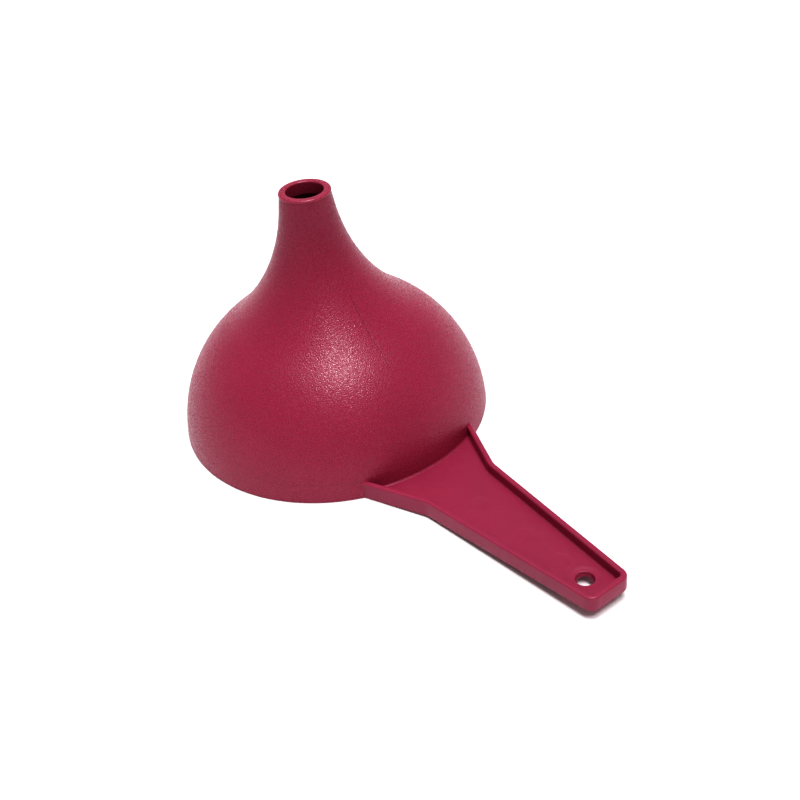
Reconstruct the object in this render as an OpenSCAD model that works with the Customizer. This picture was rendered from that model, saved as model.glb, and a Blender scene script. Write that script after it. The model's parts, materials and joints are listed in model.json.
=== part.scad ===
// Small hand funnel with a flat channel handle, standing mouth down on its rim.
// The real funnel is a single moulding. It is divided here where its shape changes, so that
// every wall, rail and ring is a solid of its own that meets its neighbours face to face.
// Z is the funnel's axis and points out of the spout, X runs along the handle, and the origin
// is the centre of the mouth in the plane of its rim.

/* [Bowl] */
// Outer diameter of the mouth at the rim
mouth_d = 64; // [63:0.5:70]
// Lean of the wall from upright at the rim, in degrees
mouth_draft = 2.6; // [1:0.1:3]
// Radius of the dome's outline
dome_r = 29.8; // [28:0.1:30]
// Height of the plain band at the rim
rim_h = 4; // [3.8:0.1:5]
// Diameter of the straight land inside the rim
mouth_land_d = 61; // [60.8:0.1:61.2]
// Height of the straight land inside the rim
mouth_land_h = 3; // [2:0.1:3]
// Wall thickness of the bowl and the neck
wall = 1.3; // [1.2:0.05:1.4]

/* [Neck and spout] */
// Lean of the wall from upright where the dome turns into the neck, in degrees
shoulder_lean = 51.7; // [50:0.1:52]
// Radius of the hollow curve from the shoulder up to the spout
flare_r = 36.7; // [34:0.1:37]
// Lean of the spout's wall from upright, in degrees
spout_taper = 8.8; // [8:0.1:10]
// Slant length of the spout's straight wall
spout_l = 3.9; // [3.6:0.1:4.2]
// Outer diameter that the spout's taper reaches at its top
spout_end_d = 9.8; // [9.4:0.1:10]
// Outer diameter of the lip, which stands a little proud of the spout
lip_d = 10.2; // [10:0.1:10.4]
// Height of the lip
lip_h = 0.6; // [0.5:0.1:1]
// Diameter of the straight bore through the lip
bore_d = 7.3; // [7.1:0.1:7.5]
// Length of the straight bore through the lip
bore_l = 2.5; // [2:0.1:2.8]
// Rounding of the lip's outer edge
lip_round = 0.3; // [0.2:0.05:0.4]

/* [Handle] */
// Distance from the funnel's axis to the end of the handle
handle_end_x = 80.3; // [76:0.1:90]
// Distance from the axis to the bend where the root flare ends
bend_x = 41.7; // [40:0.1:44]
// Width of the handle at the bend
bend_w = 16.6; // [15.5:0.1:17.5]
// Width of the handle at its end, before the corners are rounded
end_w = 9.1; // [8.6:0.1:10]
// Lean of the flared root's sides from the handle's length, in degrees
root_flare = 22.5; // [18:0.5:24]
// Radius of the two end corners
end_corner_r = 1.9; // [1.6:0.1:2.6]
// Height of the rails from the root to the bend
rail_h = 3.6; // [3.2:0.1:3.8]
// Height of the rails at the end of the handle
end_rail_h = 3; // [2.8:0.1:3.4]
// Thickness of the rails
rail_t = 1.15; // [1:0.05:1.3]
// Thickness of the web at the bend, where its top face is this high above the rails' foot
web_top = 1.5; // [1.4:0.1:1.7]
// Rise of the handle from the rim's plane, in degrees
handle_rise = 1.6; // [0:0.1:2]

/* [Hang hole] */
// Distance from the axis to the hang hole
hole_x = 74.2; // [70:0.1:75]
// Diameter of the hang hole
hole_d = 3.3; // [3:0.1:3.6]
// Outer diameter of the dished ring round the hang hole
eye_d = 6; // [5.6:0.1:6.2]
// Depth of the dish at the hole's edge
eye_dish = 0.2; // [0.1:0.05:0.3]

/* [Hidden] */
$fn = 96;
body_color = "#962640";
handle_color = "#9E2A45";
lip_color = "#B33F5A";
arc_steps = 20;         // chords along each long curve of the outline
corner_steps = 8;       // chords round each corner of the handle
mouth_r = mouth_d / 2;
spout_end_r = spout_end_d / 2;
lip_r = lip_d / 2;
bore_r = bore_d / 2;
mouth_land_r = mouth_land_d / 2;
rise_pivot_x = 28.5;    // the handle rises from a line inside the rim's wall
root_x = 26;            // the handle starts inside the bowl and is cut back to its wall
reach = 100;            // longer than anything that it cuts

// The outer wall is described by its lean from upright: it grows along the dome,
// stays the same over a short cone and shrinks again along the flare.
rim_lean = asin(sin(mouth_draft) + rim_h / dome_r);
function dome_point(lean) = [mouth_r - dome_r * (cos(mouth_draft) - cos(lean)),
                             dome_r * (sin(lean) - sin(mouth_draft))];
shoulder = dome_point(shoulder_lean);
flare_drop = flare_r * (cos(spout_taper) - cos(shoulder_lean));
cone_drop = shoulder.x - flare_drop - spout_l * sin(spout_taper) - spout_end_r;
flare_start = shoulder + [-cone_drop, cone_drop / tan(shoulder_lean)];
function flare_point(lean) = flare_start + flare_r * [cos(shoulder_lean) - cos(lean),
                                                      sin(shoulder_lean) - sin(lean)];
flare_end = flare_point(spout_taper);
function spout_point(s) = flare_end + s * [-sin(spout_taper), cos(spout_taper)];
lip_z = spout_point(spout_l).y;
lip_foot = spout_point(spout_l - lip_h / cos(spout_taper));
lip_start = spout_point(spout_l - bore_l / cos(spout_taper));

// The inner wall lies one wall thickness inside the outer one, square to it.
function inside(point, lean) = point - wall * [cos(lean), sin(lean)];
function steps(a, b) = [for (i = [0 : arc_steps]) a + (b - a) * i / arc_steps];
function reversed(list) = [for (i = [len(list) - 1 : -1 : 0]) list[i]];
function dome_outside(a, b) = [for (lean = steps(a, b)) dome_point(lean)];
function dome_inside(a, b) = [for (lean = steps(a, b)) inside(dome_point(lean), lean)];
function flare_outside(a, b) = [for (lean = steps(a, b)) flare_point(lean)];
function flare_inside(a, b) = [for (lean = steps(a, b)) inside(flare_point(lean), lean)];

// Everything inside the funnel's outer wall, and below its rim, to cut the handle back to it.
module outer_form() {
    rotate_extrude()
        polygon(concat([[0, -1], [mouth_r, -1]], dome_outside(mouth_draft, rim_lean),
                       dome_outside(rim_lean, shoulder_lean), [[0, shoulder.y]]));
}

module mouth_rim() {
    color(body_color)
        rotate_extrude()
            polygon(concat(dome_outside(mouth_draft, rim_lean),
                           [inside(dome_point(rim_lean), rim_lean),
                            [mouth_land_r, mouth_land_h], [mouth_land_r, 0]]));
}

module bowl() {
    color(body_color)
        rotate_extrude()
            polygon(concat(dome_outside(rim_lean, shoulder_lean),
                           reversed(dome_inside(rim_lean, shoulder_lean))));
}

module neck() {
    color(body_color)
        rotate_extrude()
            polygon(concat([shoulder], flare_outside(shoulder_lean, spout_taper),
                           reversed(flare_inside(shoulder_lean, spout_taper)),
                           [inside(shoulder, shoulder_lean)]));
}

module spout() {
    color(body_color)
        rotate_extrude()
            polygon([flare_end, lip_start, [bore_r, lip_start.y], inside(flare_end, spout_taper)]);
}

// The lip is an upright ring at the top of the spout, with its outer edge rounded to the flat top.
module spout_lip() {
    centre = [lip_r - lip_round, lip_z - lip_round];
    edge = [for (angle = steps(0, 90)) centre + lip_round * [cos(angle), sin(angle)]];
    color(lip_color)
        rotate_extrude()
            polygon(concat([lip_start, lip_foot, [lip_r, lip_foot.y]], edge,
                           [[bore_r, lip_z], [bore_r, lip_start.y]]));
}

// Corner b of the path a, b, c rounded to a radius.
function unit(v) = v / norm(v);
function rounded(a, b, c, radius) =
    let (u = unit(a - b), v = unit(c - b), half = acos(u * v) / 2,
         centre = b + unit(u + v) * radius / sin(half),
         from = b + u * radius / tan(half) - centre,
         to = b + v * radius / tan(half) - centre,
         turn = (90 - half) * 2 * sign(from.x * to.y - from.y * to.x),
         start = atan2(from.y, from.x))
    [for (i = [0 : corner_steps])
        centre + radius * [cos(start + turn * i / corner_steps), sin(start + turn * i / corner_steps)]];

// Half the handle's plan on the +Y side: root, bend and end, moved inwards by a margin.
side_lean = atan2((bend_w - end_w) / 2, handle_end_x - bend_x);
function end_point(margin) = [handle_end_x - margin,
                              end_w / 2 - margin / cos(side_lean) + margin * tan(side_lean)];
function bend_point(margin) = [bend_x - margin * tan((root_flare + side_lean) / 2), 0]
    + [0, bend_w / 2 - margin / cos(side_lean) + margin * tan((root_flare + side_lean) / 2) * tan(side_lean)];
function root_point(margin) = let (bend = bend_point(margin))
    [root_x, bend.y + (bend.x - root_x) * tan(root_flare)];
function mirrored(point) = [point.x, -point.y];
function half_plan(margin) =
    concat([root_point(margin), bend_point(margin)],
           rounded(bend_point(margin), end_point(margin), mirrored(end_point(margin)),
                   end_corner_r - margin));
module plan(margin) {
    half = half_plan(margin);
    polygon(concat(half, reversed([for (point = half) mirrored(point)])));
}

// The handle's underside runs level to the bend and rises from there to the end,
// while the tops of the rails and of the web stay straight.
underside_lean = atan((rail_h - end_rail_h) / (handle_end_x - bend_x));
module below_underside() {
    translate([bend_x, 0, 0])
        rotate([0, -underside_lean, 0])
            translate([0, -reach / 2, -reach])
                cube([reach, reach, reach]);
}

module raised_handle() {
    translate([rise_pivot_x, 0, 0])
        rotate([0, -handle_rise, 0])
            translate([-rise_pivot_x, 0, 0])
                difference() {
                    children();
                    below_underside();
                }
}

// The side rails stop where the end corners begin, and the end rail carries both corners.
end_rail_x = handle_end_x - end_corner_r;
module rails() {
    linear_extrude(rail_h)
        difference() {
            plan(0);
            plan(rail_t);
        }
}

module side_rail(side) {
    difference() {
        raised_handle()
            intersection() {
                rails();
                translate([0, side > 0 ? 0 : -reach, 0])
                    cube([end_rail_x, reach, rail_h]);
            }
        outer_form();
    }
}

module handle_rail_left() {
    color(handle_color) side_rail(1);
}

module handle_rail_right() {
    color(handle_color) side_rail(-1);
}

module handle_end_rail() {
    color(handle_color)
        raised_handle()
            difference() {
                rails();
                translate([0, -reach / 2, -1])
                    cube([end_rail_x, reach, rail_h + 2]);
            }
}

module handle_web() {
    color(handle_color)
        difference() {
            raised_handle()
                difference() {
                    linear_extrude(web_top) plan(rail_t);
                    translate([hole_x, 0, -1]) cylinder(d = eye_d, h = web_top + 2);
                }
            outer_form();
        }
}

module hang_hole_eye() {
    hole_r = hole_d / 2;
    color(handle_color)
        raised_handle()
            translate([hole_x, 0, 0])
                rotate_extrude()
                    polygon([[hole_r, 0], [eye_d / 2, 0], [eye_d / 2, web_top],
                             [hole_r + eye_dish, web_top], [hole_r, web_top - eye_dish]]);
}

mouth_rim();
bowl();
neck();
spout();
spout_lip();
handle_web();
handle_rail_left();
handle_rail_right();
handle_end_rail();
hang_hole_eye();
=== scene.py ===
# %% [markdown]
# # A moulded hand funnel
# The funnel is one injection moulding in berry red polypropylene. Its bowl, neck and spout are turned
# forms, and its handle is a channel: a thin web between two rails that join round the end.
# The lesson makes the turned forms with one Geometry Nodes lathe, sweeps the rails along the handle's
# plan, builds the web as a fine grid, and gives each surface the finish its mould gave it.

# %% The frame
import json
import math

import bmesh
import bpy
from mathutils import Matrix, Vector


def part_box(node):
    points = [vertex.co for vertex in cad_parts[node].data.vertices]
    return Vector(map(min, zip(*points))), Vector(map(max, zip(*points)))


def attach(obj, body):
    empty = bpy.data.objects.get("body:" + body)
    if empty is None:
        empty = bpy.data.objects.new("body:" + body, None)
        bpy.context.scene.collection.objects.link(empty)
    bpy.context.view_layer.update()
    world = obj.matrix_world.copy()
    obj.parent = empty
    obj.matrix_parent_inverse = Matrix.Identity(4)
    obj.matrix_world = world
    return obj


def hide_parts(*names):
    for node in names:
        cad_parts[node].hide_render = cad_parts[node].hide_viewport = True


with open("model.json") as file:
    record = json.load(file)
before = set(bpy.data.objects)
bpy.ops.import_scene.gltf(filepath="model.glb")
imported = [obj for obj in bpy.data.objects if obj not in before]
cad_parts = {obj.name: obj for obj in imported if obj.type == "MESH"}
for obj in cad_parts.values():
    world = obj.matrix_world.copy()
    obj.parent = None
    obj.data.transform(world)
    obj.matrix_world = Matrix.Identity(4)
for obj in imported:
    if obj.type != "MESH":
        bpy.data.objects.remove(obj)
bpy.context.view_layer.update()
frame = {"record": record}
MM = 0.001

# %% [markdown]
# ## The sizes
# The shapes' lengths are in millimetres, and MM turns a length into Blender's metres. The places come
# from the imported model: the rim's radius, the height of the lip, the two bores and the hang hole are
# all read from it. The leans and radii of the wall's curves are the ones that the model was designed
# with.

# %% Sizes from the frame
LOW, HIGH = 0, 1
X, Y, Z = 0, 1, 2


def cad(node, corner, axis):
    """One side of a node's box, in millimetres."""
    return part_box(node)[corner][axis] / MM


mounts = {mount["name"]: mount for mount in frame["record"]["mounts"]}
MOUTH_R = cad("mouth_rim", HIGH, Y)
RIM_H = cad("mouth_rim", HIGH, Z)
LIP_Z = cad("spout_lip", HIGH, Z)
BORE_FOOT_Z = cad("spout_lip", LOW, Z)
BORE_R = mounts["spout_bore"]["dims"]["r_mm"]
LAND_R = mounts["mouth_bore"]["dims"]["r_mm"]
LAND_H = mounts["mouth_bore"]["dims"]["length_mm"]
HOLE_R = mounts["hang_hole"]["dims"]["r_mm"]
print(f"mouth {2 * MOUTH_R:.1f} mm, height {LIP_Z:.2f} mm, bore {2 * BORE_R:.2f} mm")

# %% Sizes of the wall's curves
WALL = 1.3
WALL_MIDDLE = MOUTH_R - WALL / 2
MOUTH_DRAFT = math.radians(2.6)
DOME_R = 29.8
SHOULDER_LEAN = math.radians(51.7)
FLARE_R = 36.7
SPOUT_TAPER = math.radians(8.8)
SPOUT_L = 3.9
SPOUT_END_R = 4.9
print(f"the middle of the rim's wall is at r {WALL_MIDDLE:.2f}")

# %% [markdown]
# ## The outline of the wall
# The outer wall is easiest to describe by its lean from upright. Over the dome the lean grows along
# one arc, over the short cone at the shoulder it stays the same, and up the neck it shrinks again
# along a larger hollow arc until only the spout's taper is left. A point on any arc then needs
# nothing but its lean, and the inner wall is the same point moved in, square to the wall.

# %% The dome
def along(start, end, count):
    """Evenly spaced values from start to end, both included."""
    return [start + (end - start) * i / count for i in range(count + 1)]


def inward(point, lean, depth):
    """A point of the wall moved in by depth, square to a wall of that lean."""
    return (point[0] - depth * math.cos(lean), point[1] - depth * math.sin(lean))


def dome(lean):
    """Radius and height of the dome where its wall has that lean."""
    return (MOUTH_R - DOME_R * (math.cos(MOUTH_DRAFT) - math.cos(lean)),
            DOME_R * (math.sin(lean) - math.sin(MOUTH_DRAFT)))


def dome_wall(start, end, count, depth=0.0):
    return [inward(dome(lean), lean, depth) for lean in along(start, end, count)]


RIM_LEAN = math.asin(math.sin(MOUTH_DRAFT) + RIM_H / DOME_R)
SHOULDER = dome(SHOULDER_LEAN)
print(f"shoulder at r {SHOULDER[0]:.2f}, z {SHOULDER[1]:.2f}")

# %% The flare and the spout
FLARE_DROP = FLARE_R * (math.cos(SPOUT_TAPER) - math.cos(SHOULDER_LEAN))
CONE_DROP = SHOULDER[0] - FLARE_DROP - SPOUT_L * math.sin(SPOUT_TAPER) - SPOUT_END_R
FLARE_START = (SHOULDER[0] - CONE_DROP, SHOULDER[1] + CONE_DROP / math.tan(SHOULDER_LEAN))


def flare(lean):
    """Radius and height of the flare where its wall has that lean."""
    return (FLARE_START[0] + FLARE_R * (math.cos(SHOULDER_LEAN) - math.cos(lean)),
            FLARE_START[1] + FLARE_R * (math.sin(SHOULDER_LEAN) - math.sin(lean)))


def flare_wall(start, end, count, depth=0.0):
    return [inward(flare(lean), lean, depth) for lean in along(start, end, count)]


def spout(run):
    """The point that far up the slant of the spout's outer wall."""
    foot = flare(SPOUT_TAPER)
    return (foot[0] - run * math.sin(SPOUT_TAPER), foot[1] + run * math.cos(SPOUT_TAPER))


print(f"the spout ends at r {spout(SPOUT_L)[0]:.2f}, z {spout(SPOUT_L)[1]:.2f}")

# %% [markdown]
# ## Adding nodes
# Setting every socket of a node tree on its own takes many lines. One small helper adds a node, sets
# its properties and fills its sockets. A value that is itself an output is linked. Underscores stand
# for the spaces in a socket's name, and i0 or i1 picks a socket by number where names repeat.

# %% The node helper
def socket_of(node, name):
    if name[0] == "i" and name[1:].isdigit():
        return node.inputs[int(name[1:])]
    return node.inputs[name.replace("_", " ")]


def add(tree, kind, settings=None, **values):
    """Add a node, set its properties, and set or link its sockets."""
    node = tree.nodes.new(kind)
    for name, value in (settings or {}).items():
        setattr(node, name, value)
    for name, value in values.items():
        if isinstance(value, bpy.types.NodeSocket):
            tree.links.new(value, socket_of(node, name))
        else:
            socket_of(node, name).default_value = value
    return node


# %% [markdown]
# ## The lathe
# A turned form is a closed outline swept once round an axis. It could be spun in mesh code, but a
# node tree keeps the sweep's settings as named inputs, and the same tree then turns the rim, the
# bowl, the neck, the spout, the lip and the ring round the hang hole. The outline comes in as a loop
# of edges, becomes a curve, and Curve to Mesh sweeps it along a circle.

# %% The lathe's inputs
PATH_R = 10 * MM
lathe = bpy.data.node_groups.new("Lathe", "GeometryNodeTree")
lathe.interface.new_socket("Outline", in_out="INPUT", socket_type="NodeSocketGeometry")
for label, kind in (("Segments", "NodeSocketInt"), ("Path Radius", "NodeSocketFloat"),
                    ("Material", "NodeSocketMaterial")):
    lathe.interface.new_socket(label, in_out="INPUT", socket_type=kind)
lathe.interface.new_socket("Turned Form", in_out="OUTPUT", socket_type="NodeSocketGeometry")
print("lathe inputs:", [s.name for s in lathe.interface.items_tree if s.in_out == "INPUT"])

# %% The lathe's nodes
given = add(lathe, "NodeGroupInput")
outline = add(lathe, "GeometryNodeMeshToCurve", Mesh=given.outputs["Outline"])
shift = add(lathe, "ShaderNodeMath", {"operation": "MULTIPLY"}, i0=given.outputs["Path Radius"], i1=-1.0)
offset = add(lathe, "ShaderNodeCombineXYZ", X=shift.outputs[0])
laid = add(lathe, "GeometryNodeTransform", Geometry=outline.outputs["Curve"],
           Translation=offset.outputs[0], Rotation=(math.pi / 2, 0, 0))
path = add(lathe, "GeometryNodeCurvePrimitiveCircle", Resolution=given.outputs["Segments"],
           Radius=given.outputs["Path Radius"])
swept = add(lathe, "GeometryNodeCurveToMesh", Curve=path.outputs["Curve"],
            Profile_Curve=laid.outputs["Geometry"])
real = add(lathe, "GeometryNodeRealizeInstances", Geometry=swept.outputs["Mesh"])
painted = add(lathe, "GeometryNodeSetMaterial", Geometry=real.outputs["Geometry"],
              Material=given.outputs["Material"])
add(lathe, "NodeGroupOutput", Turned_Form=painted.outputs["Geometry"])
print("lathe nodes:", len(lathe.nodes))

# %% [markdown]
# ## Turning an outline
# Points are given in millimetres and stored in metres. A turned form starts as its outline alone. The
# lathe is put on it, its inputs are set by each socket's identifier, and the evaluated result is kept
# as a plain mesh, so that no modifier is left on the piece.

# %% New objects and turned forms
BELL_SEGMENTS = 288
EYE_SEGMENTS = 96


def new_object(name, points, edges=(), faces=()):
    mesh = bpy.data.meshes.new(name)
    mesh.from_pydata([tuple(c * MM for c in point) for point in points], edges, faces)
    piece = bpy.data.objects.new(name, mesh)
    bpy.context.scene.collection.objects.link(piece)
    return piece


def turn(name, outline_points, material, segments=BELL_SEGMENTS):
    """Turn a closed outline of (radius, height) points on the lathe and return the plain mesh."""
    count = len(outline_points)
    loop_edges = [(i, (i + 1) % count) for i in range(count)]
    piece = new_object(name, [(r, 0, z) for r, z in outline_points], loop_edges)
    turning = piece.modifiers.new("Lathe", "NODES")
    turning.node_group = lathe
    sizes = {"Segments": segments, "Path Radius": PATH_R, "Material": material}
    for socket in lathe.interface.items_tree:
        if socket.name in sizes:
            turning[socket.identifier] = sizes[socket.name]
    evaluated = piece.evaluated_get(bpy.context.evaluated_depsgraph_get())
    turned = bpy.data.meshes.new_from_object(evaluated)
    piece.modifiers.remove(turning)
    piece.data = turned
    return piece


# %% [markdown]
# ## Finishing a piece
# Each piece ends the same way. Its place is baked into its mesh, its faces are turned outwards, its
# long surfaces are smoothed while its true edges stay crisp, it is tied to the body, and the model's
# solids that it stands for are hidden.

# %% The finishing helper
SMOOTH_UP_TO = math.radians(32)
MERGE_WITHIN = 1e-7


def close_up(mesh):
    """Merge doubled points, face the mesh outwards and return how many edges are still open."""
    bm = bmesh.new()
    bm.from_mesh(mesh)
    bmesh.ops.remove_doubles(bm, verts=bm.verts, dist=MERGE_WITHIN)
    bmesh.ops.recalc_face_normals(bm, faces=bm.faces)
    if bm.calc_volume(signed=True) < 0:
        bmesh.ops.reverse_faces(bm, faces=bm.faces)
    open_edges = sum(1 for edge in bm.edges if len(edge.link_faces) != 2)
    bm.to_mesh(mesh)
    bm.free()
    return open_edges


def finish_piece(piece, slot, material, *nodes):
    mesh = piece.data
    mesh.transform(piece.matrix_world)
    piece.matrix_world = Matrix.Identity(4)
    open_edges = close_up(mesh)
    mesh.shade_smooth()
    mesh.set_sharp_from_angle(angle=SMOOTH_UP_TO)
    mesh.materials.clear()
    mesh.materials.append(material)
    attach(piece, "root")
    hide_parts(*nodes)
    print(f"{piece.name}: {len(mesh.polygons)} faces, {open_edges} open edges")


# %% [markdown]
# ## Colours
# A moulder's colour is given as an sRGB hex value, and the shader wants it linear. The handle's red
# is a trace cooler than the bell's. The lip's is paler, which is painted light: it stands in for the
# light from above and the white surroundings that its upward face catches.

# %% The colour helper and the colours
def srgb(code):
    """An sRGB hex code as a linear RGBA colour."""
    parts = [int(code[i:i + 2], 16) / 255 for i in (1, 3, 5)]
    return [c / 12.92 if c <= 0.04045 else ((c + 0.055) / 1.055) ** 2.4 for c in parts] + [1.0]


BERRY = "#9B3A56"
BERRY_HANDLE = "#9A3C59"
# Painted light: the lip's red is made paler for the light its upward face catches.
BERRY_LIP_PAINTED_LIGHT = "#AC4862"
print("berry red, linear:", [round(c, 3) for c in srgb(BERRY)[:3]])

# %% [markdown]
# ## The moulded skin
# All three finishes are the same plastic, shaped by differently finished parts of the mould. A
# mould's craters are soft-edged bowls, so the relief mixes a smooth cell pattern with plain noise.
# The gloss changes over about the width of a crater, which is what breaks a satin highlight up into
# sparkles.

# %% The skin's relief and gloss
CRATER_SHARE = 0.3
CRATER_SOFTNESS = 0.6
WEAR_PER_CRATER = 0.9


def skin_relief(tree, place, grain):
    craters = add(tree, "ShaderNodeTexVoronoi", {"feature": "SMOOTH_F1"}, Vector=place,
                  Scale=1 / grain, Smoothness=CRATER_SOFTNESS)
    fines = add(tree, "ShaderNodeTexNoise", Vector=place, Scale=1 / grain, Detail=0.0)
    relief = add(tree, "ShaderNodeMath", {"operation": "MULTIPLY_ADD"}, i0=craters.outputs["Distance"],
                 i1=CRATER_SHARE, i2=fines.outputs["Fac"])
    return relief.outputs[0]


def skin_gloss(tree, place, grain, rough):
    wear = add(tree, "ShaderNodeTexNoise", Vector=place, Scale=WEAR_PER_CRATER / grain, Detail=0.0)
    gloss = add(tree, "ShaderNodeMapRange", Value=wear.outputs["Fac"], From_Min=0.35, From_Max=0.65,
                To_Min=rough[0], To_Max=rough[1])
    return gloss.outputs["Result"]


# %% [markdown]
# ## The parting line
# Two halves of the mould met in the upright plane that holds the axis and the handle's middle.
# Where they closed least tightly, just above the shoulder, they left a hairline about a sixth of a
# millimetre wide. It is a shallow groove that holds less light, so it is cut into the relief and
# also darkens the colour.

# %% The parting line
SEAM_MIDDLE = 26 * MM
SEAM_HALF = 4 * MM
SEAM_FADE = 3 * MM
SEAM_EDGE = 0.12 * MM
SEAM_CORE = 0.4 * SEAM_EDGE
SEAM_GROOVE = 0.5
SEAM_SHADE = 0.3


def parting_line(tree, axes):
    """One in the middle of the line and zero away from it."""
    from_plane = add(tree, "ShaderNodeMath", {"operation": "ABSOLUTE"}, i0=axes["Y"])
    from_middle = add(tree, "ShaderNodeMath", {"operation": "SUBTRACT"}, i0=axes["Z"], i1=SEAM_MIDDLE)
    away = add(tree, "ShaderNodeMath", {"operation": "ABSOLUTE"}, i0=from_middle.outputs[0])
    fade = add(tree, "ShaderNodeMapRange", {"interpolation_type": "SMOOTHSTEP"}, Value=away.outputs[0],
               From_Min=SEAM_HALF, From_Max=SEAM_HALF + SEAM_FADE, To_Min=1.0, To_Max=0.0)
    seam = add(tree, "ShaderNodeMapRange", Value=from_plane.outputs[0], From_Min=SEAM_CORE,
               From_Max=SEAM_EDGE, To_Min=fade.outputs["Result"], To_Max=0.0)
    return seam.outputs["Result"]


# %% [markdown]
# ## The pigment and the painted shade
# Pigment never mixes quite evenly: its strength wavers by a few percent over a centimetre or so.
# The colour is also darkened by about a sixth up the neck. That darkening is painted shade, standing
# in for the dimmer light that reaches the front of the neck.

# %% The pigment and the painted shade
CLOUD = 14 * MM
NECK_START = 26 * MM
NECK_END = 46 * MM
NECK_PAINTED_SHADE = 0.83


def pigment(tree, place, axes, seam, colour, mottle):
    cloud = add(tree, "ShaderNodeTexNoise", Vector=place, Scale=1 / CLOUD, Detail=2.0)
    shade = add(tree, "ShaderNodeMapRange", Value=cloud.outputs["Fac"], From_Min=0.3, From_Max=0.7,
                To_Min=1 - mottle, To_Max=1 + mottle)
    # Painted shade: the colour is darkened up the neck, for the dimmer light that falls there.
    neck_painted_shade = add(tree, "ShaderNodeMapRange", {"interpolation_type": "SMOOTHSTEP"}, Value=axes["Z"],
                 From_Min=NECK_START, From_Max=NECK_END, To_Min=1.0, To_Max=NECK_PAINTED_SHADE)
    strength = add(tree, "ShaderNodeMath", {"operation": "MULTIPLY"}, i0=shade.outputs["Result"],
                   i1=neck_painted_shade.outputs["Result"])
    # Painted shade: the parting line's groove is also darkened in the colour, for the light it holds
    # back.
    seam_painted_shade = add(tree, "ShaderNodeMath", {"operation": "MULTIPLY_ADD"}, i0=seam, i1=-SEAM_SHADE, i2=1.0)
    lined = add(tree, "ShaderNodeMath", {"operation": "MULTIPLY"}, i0=strength.outputs[0],
                i1=seam_painted_shade.outputs[0])
    tinted = add(tree, "ShaderNodeVectorMath", {"operation": "SCALE"}, i0=srgb(colour)[:3],
                 Scale=lined.outputs[0])
    return tinted.outputs[0]


# %% [markdown]
# ## Polypropylene
# Polypropylene has an index of refraction of 1.49. Even pigmented it isn't quite opaque: some light
# sinks about a millimetre into it, red deepest, which softens thin edges.

# %% Polypropylene
PP_IOR = 1.49
SINK_SHARE = 0.25
SINK_DEPTH = 1 * MM
SINK_BY_COLOUR = (1.0, 0.2, 0.3)


def polypropylene(name, colour, rough, grain, depth, mottle):
    """Moulded polypropylene. The skin's roughness runs between the two values of rough, its craters
    are as wide as grain and as deep as depth, and the pigment's strength wavers by mottle."""
    material = bpy.data.materials.new(name)
    material.use_nodes = True
    tree = material.node_tree
    tree.nodes.clear()
    place = add(tree, "ShaderNodeTexCoord").outputs["Object"]
    axes = add(tree, "ShaderNodeSeparateXYZ", Vector=place).outputs
    seam = parting_line(tree, axes)
    grooved = add(tree, "ShaderNodeMath", {"operation": "MULTIPLY_ADD"}, i0=seam, i1=-SEAM_GROOVE,
                  i2=skin_relief(tree, place, grain))
    bump = add(tree, "ShaderNodeBump", Strength=1.0, Distance=depth, Height=grooved.outputs[0])
    skin = add(tree, "ShaderNodeBsdfPrincipled", IOR=PP_IOR, Normal=bump.outputs["Normal"],
               Base_Color=pigment(tree, place, axes, seam, colour, mottle),
               Roughness=skin_gloss(tree, place, grain, rough),
               Subsurface_Weight=SINK_SHARE, Subsurface_Scale=SINK_DEPTH,
               Subsurface_Radius=SINK_BY_COLOUR)
    add(tree, "ShaderNodeOutputMaterial", Surface=skin.outputs["BSDF"])
    print("made", material.name)
    return material


# %% [markdown]
# ## Spark-eroded polypropylene
# The outside of the bowl was moulded against a cavity that was spark eroded: thousands of tiny
# overlapping craters, a few hundredths of a millimetre deep. On polypropylene they turn the gloss
# into a broad satin highlight that breaks up into fine sparkles. The real craters are about 0.1 mm
# wide, too fine to show at this distance, so they are drawn about 0.24 mm wide.

# %% Material: spark-eroded polypropylene
GRAIN = 0.24 * MM
GRAIN_DEPTH = 0.056 * MM
spark_eroded = polypropylene("spark_eroded_polypropylene", BERRY, (0.22, 0.5), GRAIN, GRAIN_DEPTH, 0.03)

# %% [markdown]
# ## Stoned polypropylene
# The handle's half of the mould was only smoothed with a stone, so it is glossier and nearly
# flat, with a faint unevenness where the plastic shrank as it cooled.

# %% Material: stoned polypropylene
SHRINK_WAVE = 0.9 * MM
SHRINK_DEPTH = 0.012 * MM
stoned = polypropylene("stoned_polypropylene", BERRY_HANDLE, (0.32, 0.4), SHRINK_WAVE, SHRINK_DEPTH, 0.04)

# %% [markdown]
# ## Polished polypropylene
# The insert that shaped the lip was polished, so this is the smoothest part of the moulding. Only a
# very slight ripple keeps its highlight from looking ruled.

# %% Material: polished polypropylene
RIPPLE = 0.5 * MM
RIPPLE_DEPTH = 0.006 * MM
# Its paler red is painted light for the bead's upward face, on top of the real polish.
polished = polypropylene("polished_polypropylene", BERRY_LIP_PAINTED_LIGHT, (0.26, 0.34), RIPPLE, RIPPLE_DEPTH, 0.02)

# %% [markdown]
# ## The rim
# The rim is the plain band that the funnel stands on. Its foot is flat and its corners are slightly
# rounded, as the edge of any moulding is. Inside, a short straight land runs up from the foot.

# %% The rim
FOOT_ROUND = 0.35
CLEAR_OF_ROUND = 0.05


def arc(centre, radius, start, end, count):
    """Points on an arc, with its angles in degrees."""
    angles = [math.radians(a) for a in along(start, end, count)]
    return [(centre[0] + radius * math.cos(a), centre[1] + radius * math.sin(a)) for a in angles]


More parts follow.
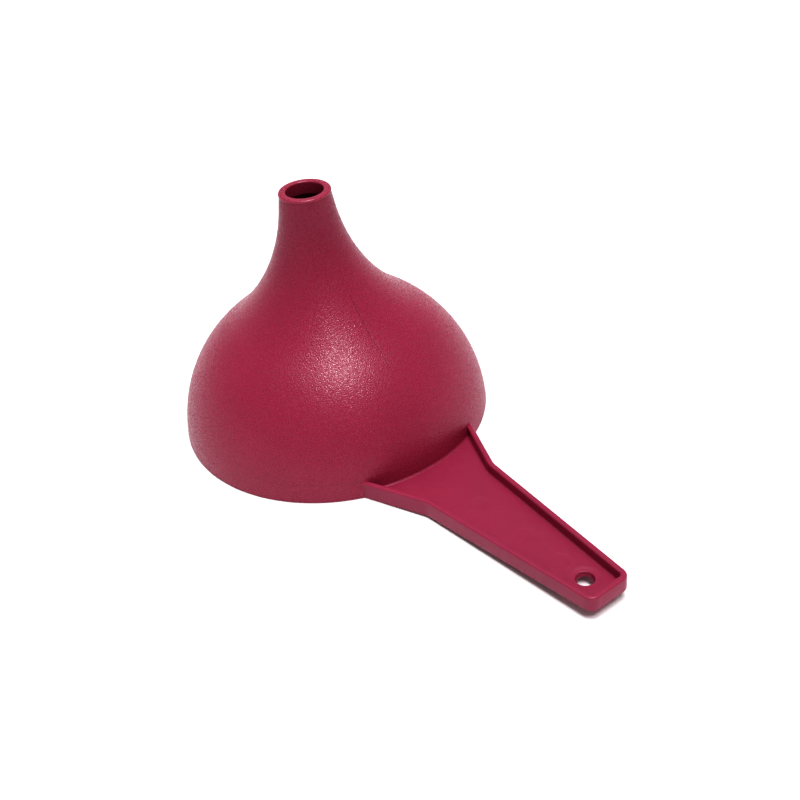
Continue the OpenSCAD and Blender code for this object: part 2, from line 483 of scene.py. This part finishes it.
foot_centre = (MOUTH_R - FOOT_ROUND, FOOT_ROUND)
rim_outline = (
    arc(foot_centre, FOOT_ROUND, -90, math.degrees(MOUTH_DRAFT), 6)
    + [p for p in dome_wall(MOUTH_DRAFT, RIM_LEAN, 16) if p[1] > FOOT_ROUND + CLEAR_OF_ROUND]
    + [inward(dome(RIM_LEAN), RIM_LEAN, WALL), (LAND_R, LAND_H)]
    + arc((LAND_R + FOOT_ROUND, FOOT_ROUND), FOOT_ROUND, 180, 270, 6)
)
finish_piece(turn("rim_band", rim_outline, spark_eroded), "bell", spark_eroded, "mouth_rim")

# %% [markdown]
# ## The bowl
# The wall above the rim is 1.3 mm thick all the way. Neighbouring pieces share the short line across
# the wall where they meet, so the surface runs on without a step. The outside is drawn with more
# points than the inside, because it is the side that shows.

# %% The bowl
OUTSIDE = 64
INSIDE = 48
bowl_outline = (
    dome_wall(RIM_LEAN, SHOULDER_LEAN, OUTSIDE)
    + dome_wall(SHOULDER_LEAN, RIM_LEAN, INSIDE, WALL)
)
finish_piece(turn("bowl_wall", bowl_outline, spark_eroded), "bell", spark_eroded, "bowl")

# %% [markdown]
# ## The neck
# A short cone carries the shoulder's lean on to the flare, and the flare is one long hollow arc.

# %% The neck
CONE_STEPS = 6
cone_run = FLARE_START[0] - SHOULDER[0]
cone_rise = FLARE_START[1] - SHOULDER[1]
cone = [(SHOULDER[0] + cone_run * t, SHOULDER[1] + cone_rise * t) for t in along(0, 1, CONE_STEPS)]
neck_outline = (
    cone[:-1]
    + flare_wall(SHOULDER_LEAN, SPOUT_TAPER, OUTSIDE)
    + flare_wall(SPOUT_TAPER, SHOULDER_LEAN, INSIDE, WALL)
    + [inward(SHOULDER, SHOULDER_LEAN, WALL)]
)
finish_piece(turn("neck_wall", neck_outline, spark_eroded), "bell", spark_eroded, "neck")

# %% [markdown]
# ## The spout
# The spout's outer wall stops at the foot of the lip's bead. Inside, it leaves room for the half
# millimetre of smoother plastic that lines the bore, which belongs to the lip.

# %% The spout
BEAD_H = 0.6
LINING = 0.5
BEAD_Z = LIP_Z - BEAD_H
spout_outline = [spout(run) for run in along(0, SPOUT_L - BEAD_H / math.cos(SPOUT_TAPER), 8)]
spout_outline += [
    (BORE_R + LINING, BEAD_Z),
    (BORE_R + LINING, BORE_FOOT_Z),
    (BORE_R, BORE_FOOT_Z),
    inward(flare(SPOUT_TAPER), SPOUT_TAPER, WALL),
]
finish_piece(turn("spout_tube", spout_outline, spark_eroded), "bell", spark_eroded, "spout")

# %% [markdown]
# ## The lip
# The spout ends in a flat ring with an upright bead round it, and the same piece lines the bore. The
# cavity and the core met here, so the plastic is smoother and catches more light than the wall below
# it. Its colour is also painted paler, as painted light on the upward-facing bead.

# %% The lip
LIP_R = 5.1
LIP_ROUND = 0.42
BORE_ROUND = 0.3
BEAD_DRAFT = 0.05
BEAD_LIFT = 0.02
lip_outline = (
    [(BORE_R + LINING, BORE_FOOT_Z), (BORE_R + LINING, BEAD_Z), (LIP_R - BEAD_DRAFT, BEAD_Z + BEAD_LIFT)]
    + arc((LIP_R - LIP_ROUND, LIP_Z - LIP_ROUND), LIP_ROUND, 0, 90, 10)
    + arc((BORE_R + BORE_ROUND, LIP_Z - BORE_ROUND), BORE_ROUND, 90, 180, 8)
    + [(BORE_R, BORE_FOOT_Z)]
)
finish_piece(turn("lip_bead", lip_outline, polished), "lip", polished, "spout_lip")

# %% [markdown]
# ## The handle's own axes
# The handle rises from the rim's plane by 1.6 degrees, so its pieces are drawn level and then tipped
# up about the line where they leave the rim. Its underside is level to the bend and then rises a
# little, so the handle grows thinner towards its end.

# %% Handle sizes and axes
HANDLE_RISE = math.radians(1.6)
RISE_X = 28.5
BEND_X = 41.7
BEND_W = 16.6
END_X = 80.3
END_W = 9.1
RAIL_H = 3.6
END_RAIL_H = 3.0
RAIL_T = 1.15
WEB_TOP = 1.5
ROOT_FLARE = math.radians(22.5)
SIDE_LEAN = math.atan2((BEND_W - END_W) / 2, END_X - BEND_X)


def underside(x):
    """Height of the handle's underside: level to the bend, then rising to the end."""
    return max(x - BEND_X, 0) * (RAIL_H - END_RAIL_H) / (END_X - BEND_X)


def tip_up(point):
    """From the handle's level axes to the funnel's."""
    x, y, z = point
    c, s = math.cos(HANDLE_RISE), math.sin(HANDLE_RISE)
    return (RISE_X + (x - RISE_X) * c - z * s, y, (x - RISE_X) * s + z * c)


print(f"past the bend the handle's sides lean in by {math.degrees(SIDE_LEAN):.2f} degrees")

# %% [markdown]
# ## The plan of the handle
# Seen from above, one side runs straight out of the bowl, bends where the root flare ends, tapers to
# the end and turns a rounded corner. A path holds each point with its inward direction, so any
# section can be swept along it.

# %% Headings and fillets
def heading(angle):
    return Vector((math.cos(angle), math.sin(angle)))


def fillet(corner, before, after, radius, count):
    """Points and inward directions round a corner between two headings. The path runs clockwise."""
    turn_by = after - before
    reach = radius * math.tan(abs(turn_by) / 2)
    start = corner - heading(before) * reach
    side = math.copysign(math.pi / 2, turn_by)
    centre = start + heading(before + side) * radius
    return [(centre - heading(angle + side) * radius, heading(angle - math.pi / 2))
            for angle in along(before, after, count)]


# %% The handle's path
OUT_FLARE = -ROOT_FLARE
OUT_SIDE = -SIDE_LEAN
ACROSS = -math.pi / 2
BACK_SIDE = -math.pi + SIDE_LEAN
BACK_FLARE = -math.pi + ROOT_FLARE
ROOT_RUN = 16.0
BEND_R = 5.0
END_CORNER_R = 1.9
bend_left = Vector((BEND_X, BEND_W / 2))
bend_right = Vector((BEND_X, -BEND_W / 2))
end_left = Vector((END_X, END_W / 2))
end_right = Vector((END_X, -END_W / 2))
left_root = (bend_left - heading(OUT_FLARE) * ROOT_RUN, heading(OUT_FLARE - math.pi / 2))
right_root = (bend_right + heading(BACK_FLARE) * ROOT_RUN, heading(BACK_FLARE - math.pi / 2))
end_path = (fillet(end_left, OUT_SIDE, ACROSS, END_CORNER_R, 12)
            + fillet(end_right, ACROSS, BACK_SIDE, END_CORNER_R, 12))
left_path = [left_root] + fillet(bend_left, OUT_FLARE, OUT_SIDE, BEND_R, 8) + [end_path[0]]
right_path = [end_path[-1]] + fillet(bend_right, BACK_SIDE, BACK_FLARE, BEND_R, 8) + [right_root]
print("path stations:", len(left_path), len(end_path), len(right_path))

# %% [markdown]
# ## The rails' section
# A rail is one section swept along the path. The section is a thin wall with a rounded top, a small
# radius at its foot and a hollow fillet where it stands on the web: a mould needs all three. Its
# points run from the outer foot up, over the top, and down the inner side.

# %% The rails' section
TOP_ROUND = 0.38
WEB_FILLET = 0.4
FOOT_EASE = 0.28
UNDER_WEB_TOP = WEB_TOP - 0.1
rail_section = (
    arc((FOOT_EASE, FOOT_EASE), FOOT_EASE, 270, 180, 4)
    + arc((TOP_ROUND, RAIL_H - TOP_ROUND), TOP_ROUND, 180, 90, 8)
    + arc((RAIL_T - TOP_ROUND, RAIL_H - TOP_ROUND), TOP_ROUND, 90, 0, 8)
    + arc((RAIL_T + WEB_FILLET, WEB_TOP + WEB_FILLET), WEB_FILLET, 180, 270, 6)
    + [(RAIL_T + WEB_FILLET, UNDER_WEB_TOP), (RAIL_T, UNDER_WEB_TOP)]
    + arc((RAIL_T - FOOT_EASE, FOOT_EASE), FOOT_EASE, 0, -90, 4)
)
RING = len(rail_section)
print("section points:", RING)

# %% [markdown]
# ## Sweeping the rails
# At each station of the path the section is set up square to it, with its foot on the rising
# underside. At the root the sweep is cut back to the middle of the rim's wall, where the plastic is
# one: each point slides along its rail until it is as far from the axis as that middle.

# %% The sweep
SLIDES = 30
SLIDE_SHARE = 0.7


def sweep(stations):
    """Sweep the rail's section along path stations, with closed ends."""
    points = []
    for place, inner in stations:
        for across, up in rail_section:
            flat = place + inner * across
            lift = underside(flat.x) if up < WEB_TOP / 2 else 0
            points.append((flat.x, flat.y, up + lift))
    last = len(points) - RING
    faces = [(i + j, i + (j + 1) % RING, i + RING + (j + 1) % RING, i + RING + j)
             for i in range(0, last, RING) for j in range(RING)]
    faces.append(tuple(range(RING)))
    faces.append(tuple(reversed(range(last, last + RING))))
    return points, faces


def cut_back(point, run):
    """Move a point along its rail until it lies in the middle of the rim's wall."""
    x, y, z = point
    for _ in range(SLIDES):
        gap = math.hypot(x, y) - WALL_MIDDLE
        x -= run.x * gap * SLIDE_SHARE
        y -= run.y * gap * SLIDE_SHARE
    return (x, y, z)


def rail(name, stations, root_at=None, run=None):
    """A rail along the stations. The station at root_at is cut back along the heading run."""
    points, faces = sweep(stations)
    if root_at is not None:
        first = root_at * RING
        points[first:first + RING] = [cut_back(p, run) for p in points[first:first + RING]]
    return new_object(name, [tip_up(p) for p in points], (), faces)


# %% The three rails
left = rail("left_rail", left_path, 0, heading(OUT_FLARE))
finish_piece(left, "handle", stoned, "handle_rail_left")
right = rail("right_rail", right_path, len(right_path) - 1, -heading(BACK_FLARE))
finish_piece(right, "handle", stoned, "handle_rail_right")
finish_piece(rail("end_rail", end_path), "handle", stoned, "handle_end_rail")

# %% [markdown]
# ## The height of the web
# The web is a plate, but not a dead flat one. It rises in a small fillet where it meets the bowl,
# and three round marks show where pins pushed the moulding out of its tool. Both are real shapes, so
# they are heights of the mesh and not part of the finish.

# %% The web's height
ROOT_FILLET = 0.3
PIN_R = 1.9
PIN_DEPTH = 0.05
PIN_EDGE = 0.25
PIN_XS = (47.0, 59.0, 68.2)


def smoothstep(value, low, high):
    t = min(max((value - low) / (high - low), 0.0), 1.0)
    return t * t * (3 - 2 * t)


def web_height(x, y):
    rise = 0.0
    gap = math.hypot(x, y) - MOUTH_R
    if gap < ROOT_FILLET:
        rise = ROOT_FILLET - math.sqrt(max(ROOT_FILLET ** 2 - (ROOT_FILLET - max(gap, 0)) ** 2, 0))
    dip = 0.0
    for pin_x in PIN_XS:
        dip += PIN_DEPTH * (1 - smoothstep(math.hypot(x - pin_x, y), PIN_R - PIN_EDGE, PIN_R))
    return WEB_TOP + rise - dip


print(f"web top {web_height(BEND_X, 0):.2f} mm, in a pin mark {web_height(PIN_XS[0], 0):.2f} mm")

# %% [markdown]
# ## The web's grid
# The web is a grid of rows across the handle. Near the bowl the rows are arcs round the funnel's axis,
# so that the fillet follows the wall, and by the bend they have become straight. The points of a row
# crowd a little towards the rails, and its ends are tucked just under them.

# %% One row of the grid
ACROSS_STEPS = 56
COLUMNS = ACROSS_STEPS + 1
CROWDING = math.pi / 2 * 0.9
TUCK = 0.3
SETTLING = 8


def half_width(x):
    """Half the channel's width between the rails, and the tuck under their inner faces."""
    side = BEND_W / 2 - (x - BEND_X) * math.tan(SIDE_LEAN) - RAIL_T / math.cos(SIDE_LEAN)
    root = BEND_W / 2 - (x - BEND_X) * math.tan(ROOT_FLARE) - RAIL_T / math.cos(ROOT_FLARE)
    return max(side, root) + TUCK


def row_at(x_line, roundness):
    """One row of the grid: straight across at x_line, blended towards the arc through x_line."""
    row = []
    for step in along(-1, 1, ACROSS_STEPS):
        u = math.sin(step * CROWDING) / math.sin(CROWDING)
        x = x_line
        for _ in range(SETTLING):
            y = u * half_width(x)
            x = x_line * (1 - roundness) + math.sqrt(x_line ** 2 - y * y) * roundness
        row.append((x, u * half_width(x)))
    return row


# %% The grids before and behind the hang hole
HOLE_X = 74.2
PATCH_HALF = 4.4
ARCS_RUN = 2.4
PATCH_LOW = HOLE_X - PATCH_HALF
PATCH_HIGH = HOLE_X + PATCH_HALF
WEB_END = END_X - RAIL_T + TUCK
to_bend = along(WALL_MIDDLE + ARCS_RUN, BEND_X, 16)[1:]
rows = [row_at(x, 1.0) for x in along(WALL_MIDDLE, WALL_MIDDLE + ARCS_RUN, 24)]
rows += [row_at(x, 1 - smoothstep(x, to_bend[0], BEND_X)) for x in to_bend]
rows += [row_at(x, 0.0) for x in along(BEND_X, PATCH_LOW, 90)[1:]]
tail_rows = [row_at(x, 0.0) for x in along(PATCH_HIGH, WEB_END, 4)]
flat = [p for row in rows for p in row]
tail_first = len(flat)
flat += [p for row in tail_rows for p in row]
print("web rows:", len(rows), "before the hole and", len(tail_rows), "behind it")

# %% [markdown]
# ## Closing in on the hole
# Between the two grids lies a patch with the hang hole in it. Its border is a loop: the last row
# before the hole, one side, the first row behind it, and the other side. Rings blend that loop into
# the circle of the eye, and crowd together as they reach it.

# %% The border of the patch
SIDE_STEPS = 24
low_edge = list(range((len(rows) - 1) * COLUMNS, len(rows) * COLUMNS))
high_edge = list(range(tail_first, tail_first + COLUMNS))
side_xs = along(PATCH_LOW, PATCH_HIGH, SIDE_STEPS)[1:-1]
right_side = list(range(len(flat), len(flat) + len(side_xs)))
flat += [(x, -half_width(x)) for x in side_xs]
left_side = list(range(len(flat), len(flat) + len(side_xs)))
flat += [(x, half_width(x)) for x in side_xs]
loop = low_edge[::-1] + right_side + high_edge + left_side[::-1]
print("points round the patch:", len(loop))

# %% The rings round the hole
EYE_R = 3.0
RING_COUNT = 10
RING_EASE = -0.4


def ring_share(t):
    """How far ring t has moved from the border, at 0, to the circle, at 1."""
    start = smoothstep(0, RING_EASE, 1.0)
    return (smoothstep(t, RING_EASE, 1.0) - start) / (1 - start)


rings = [loop]
for t in along(0, 1, RING_COUNT)[1:]:
    ring = []
    for index in loop:
        x, y = flat[index]
        away = Vector((x - HOLE_X, y))
        spot = away.lerp(away.normalized() * EYE_R, ring_share(t))
        ring.append(len(flat))
        flat.append((HOLE_X + spot.x, spot.y))
    rings.append(ring)
print("points in the web's plan:", len(flat))

# %% [markdown]
# ## Closing the web
# One plan serves for the top and for the underside. Each gets the same faces, and two strips of
# faces, one along the outer border and one round the hole, join them into a closed plate.

# %% The faces of the top
def grid_faces(first, count):
    """The faces between count rows whose first point has the number first."""
    return [(first + r * COLUMNS + c, first + r * COLUMNS + c + 1,
             first + (r + 1) * COLUMNS + c + 1, first + (r + 1) * COLUMNS + c)
            for r in range(count - 1) for c in range(COLUMNS - 1)]


def pairs(closed):
    """Each point of a closed loop with the next one."""
    return list(zip(closed, closed[1:] + closed[:1]))


faces = grid_faces(0, len(rows)) + grid_faces(tail_first, len(tail_rows))
for outer, inner in zip(rings, rings[1:]):
    faces += [(a, b, d, c) for (a, b), (c, d) in zip(pairs(outer), pairs(inner))]
print("faces on top:", len(faces))

# %% The outer border
tail_last = tail_first + (len(tail_rows) - 1) * COLUMNS
border = [r * COLUMNS for r in range(len(rows))] + right_side
border += [tail_first + r * COLUMNS for r in range(len(tail_rows))]
border += [tail_last + c for c in range(1, COLUMNS)]
border += [tail_first + r * COLUMNS + COLUMNS - 1 for r in range(len(tail_rows) - 2, -1, -1)]
border += left_side[::-1]
border += [r * COLUMNS + COLUMNS - 1 for r in range(len(rows) - 1, -1, -1)]
border += list(range(COLUMNS - 2, 0, -1))
print("points round the web:", len(border))

# %% The web
below = len(flat)
top = [(x, y, web_height(x, y)) for x, y in flat]
bottom = [(x, y, underside(x)) for x, y in flat]
faces += [tuple(index + below for index in reversed(face)) for face in faces]
for edge in (border, rings[-1]):
    faces += [(a, b, b + below, a + below) for a, b in pairs(edge)]
web = new_object("web_plate", [tip_up(p) for p in top + bottom], (), faces)
finish_piece(web, "handle", stoned, "handle_web")

# %% [markdown]
# ## The eye of the hang hole
# The hole's rim is dished and rounded so that it doesn't cut a hook or a string. The pin that shaped
# the hole narrows a little towards the underside, so that it could be drawn out. The eye is one more
# turned form, set into the web and tipped up with it.

# %% The eye's outline
DISH_R = 2.55
DISH = 0.1
DISH_KNEE = 0.7 * DISH
DISH_EDGE = 0.15
HOLE_FLAT = 0.1
HOLE_ROUND = 0.15
PIN_DRAFT = 0.25
FOOT_OF_HOLE_ROUND = 0.15
eye_outline = (
    [(EYE_R, 0), (EYE_R, WEB_TOP), (EYE_R - DISH_EDGE, WEB_TOP), (DISH_R, WEB_TOP - DISH_KNEE)]
    + [(HOLE_R + HOLE_ROUND + HOLE_FLAT, WEB_TOP - DISH)]
    + arc((HOLE_R + HOLE_ROUND, WEB_TOP - DISH - HOLE_ROUND), HOLE_ROUND, 90, 180, 6)
    + arc((HOLE_R - PIN_DRAFT + FOOT_OF_HOLE_ROUND, FOOT_OF_HOLE_ROUND), FOOT_OF_HOLE_ROUND, 180, 270, 4)
)
print("outline points:", len(eye_outline))

# %% The eye
eye = turn("hang_eye", eye_outline, stoned, EYE_SEGMENTS)
for vertex in eye.data.vertices:
    if vertex.co.z < WEB_TOP * MM / 2:
        vertex.co.z += underside(HOLE_X + vertex.co.x / MM) * MM
eye_place = Vector(tip_up((HOLE_X, 0, 0))) * MM
eye.matrix_world = Matrix.Translation(eye_place) @ Matrix.Rotation(-HANDLE_RISE, 4, "Y")
finish_piece(eye, "handle", stoned, "hang_hole_eye")

# %% [markdown]
# ## The floor
# A small product is shown on a plain pale sheet. It is matt, so it takes a soft shadow and hardly any
# reflection, and so large that its edge lies far behind the funnel from every side.

# %% The floor
FLOOR_HALF = 8000
sheet = bpy.data.materials.new("pale_sheet")
sheet.use_nodes = True
paper = sheet.node_tree.nodes["Principled BSDF"]
paper.inputs["Base Color"].default_value = srgb("#F4F4F4")
paper.inputs["Roughness"].default_value = 0.9
corners = [(-FLOOR_HALF, -FLOOR_HALF, 0), (FLOOR_HALF, -FLOOR_HALF, 0),
           (FLOOR_HALF, FLOOR_HALF, 0), (-FLOOR_HALF, FLOOR_HALF, 0)]
floor = new_object("floor", corners, (), [(0, 1, 2, 3)])
floor.data.materials.append(sheet)
print("floor:", 2 * FLOOR_HALF, "mm wide")

# %% [markdown]
# ## The room
# A smooth plastic reflects most where its wall turns away, so the walls of the room decide how the
# funnel's edges look. Pale walls behind it and beside it whiten them. The wall on the handle's side
# is dimmer, which keeps the front of the neck deep in colour, and so is the ceiling.

# %% The room
WALL_GLOW = 0.53
FRONT_GLOW = 0.2
CEILING_GLOW = 0.22
world = bpy.data.worlds.new("studio")
bpy.context.scene.world = world
world.use_nodes = True
room = world.node_tree
room.nodes.clear()
direction = add(room, "ShaderNodeTexCoord").outputs["Generated"]
parts = add(room, "ShaderNodeSeparateXYZ", Vector=direction).outputs
walls = add(room, "ShaderNodeMapRange", {"interpolation_type": "SMOOTHSTEP"}, Value=parts["X"],
            From_Min=0.2, From_Max=1.0, To_Min=WALL_GLOW, To_Max=FRONT_GLOW)
glow = add(room, "ShaderNodeMapRange", {"interpolation_type": "SMOOTHSTEP"}, Value=parts["Z"],
           From_Min=0.0, From_Max=0.5, To_Min=walls.outputs["Result"], To_Max=CEILING_GLOW)
surround = add(room, "ShaderNodeBackground", Color=srgb("#FFFFFF"), Strength=glow.outputs["Result"])
add(room, "ShaderNodeOutputWorld", Surface=surround.outputs["Background"])
print("room nodes:", len(room.nodes))

# %% [markdown]
# ## The lamps
# The key panel is tall and narrow and stands high above the handle. Its reflection is the upright
# satin highlight on the dome. A broad panel overhead lights the floor and the web. Both are about
# three metres away, so the neck, which reaches up towards them, gets hardly more light than the rim.

# %% The lamps
def panel(name, azimuth, elevation, distance, width, height, watts):
    """A soft light that looks at the bowl, with its distance and sizes in metres. Azimuth 0 is along
    +X, towards the handle."""
    data = bpy.data.lights.new(name, "AREA")
    data.shape = "RECTANGLE"
    data.size = width
    data.size_y = height
    data.energy = watts
    lamp = bpy.data.objects.new(name, data)
    bpy.context.scene.collection.objects.link(lamp)
    a, e = math.radians(azimuth), math.radians(elevation)
    bowl_middle = Vector((0, 0, 20 * MM))
    away = Vector((math.cos(a) * math.cos(e), math.sin(a) * math.cos(e), math.sin(e)))
    lamp.location = bowl_middle + away * distance
    lamp.rotation_euler = (-away).to_track_quat("-Z", "Y").to_euler()
    print(f"{name}: {watts} W, {width} by {height} m, {distance} m away")


panel("key_panel", azimuth=-10, elevation=72, distance=3.0, width=0.8, height=1.5, watts=45)
panel("top_panel", azimuth=146, elevation=80, distance=3.3, width=2.4, height=2.4, watts=29)

# %% [markdown]
# ## The camera
# The camera stands about 235 mm away on the handle's right and looks down on the funnel. It is so
# close that the handle grows towards it, and it is tilted by six degrees, so the neck leans.

# %% The camera
CAMERA_AZIMUTH = math.radians(-33.74)
CAMERA_ELEVATION = math.radians(35.61)
CAMERA_ROLL = math.radians(-6.33)
CAMERA_DISTANCE = 235.1 * MM
AIM = Vector((8.19, 10.84, 0)) * MM
camera = bpy.data.objects.new("camera", bpy.data.cameras.new("camera"))
bpy.context.scene.collection.objects.link(camera)
camera.data.sensor_width = 36
camera.data.lens = 49.27
camera.data.clip_start = 0.01
camera.data.clip_end = 20
back = Vector((math.cos(CAMERA_AZIMUTH) * math.cos(CAMERA_ELEVATION),
               math.sin(CAMERA_AZIMUTH) * math.cos(CAMERA_ELEVATION), math.sin(CAMERA_ELEVATION)))
camera.location = AIM + back * CAMERA_DISTANCE
level = (-back).to_track_quat("-Z", "Y").to_matrix()
camera.rotation_euler = (Matrix.Rotation(CAMERA_ROLL, 3, back) @ level).to_euler()
bpy.context.scene.camera = camera
print("camera at, in mm:", [round(c / MM, 1) for c in camera.location])

# %% [markdown]
# ## The picture's tone
# A catalogue picture is printed with strong contrast: the sheet goes to plain white while the red
# stays deep. The Standard view with a high-contrast look does the same.

# %% The picture's tone
bpy.context.scene.view_settings.view_transform = "Standard"
bpy.context.scene.view_settings.look = "Very High Contrast"
print("look:", bpy.context.scene.view_settings.look)
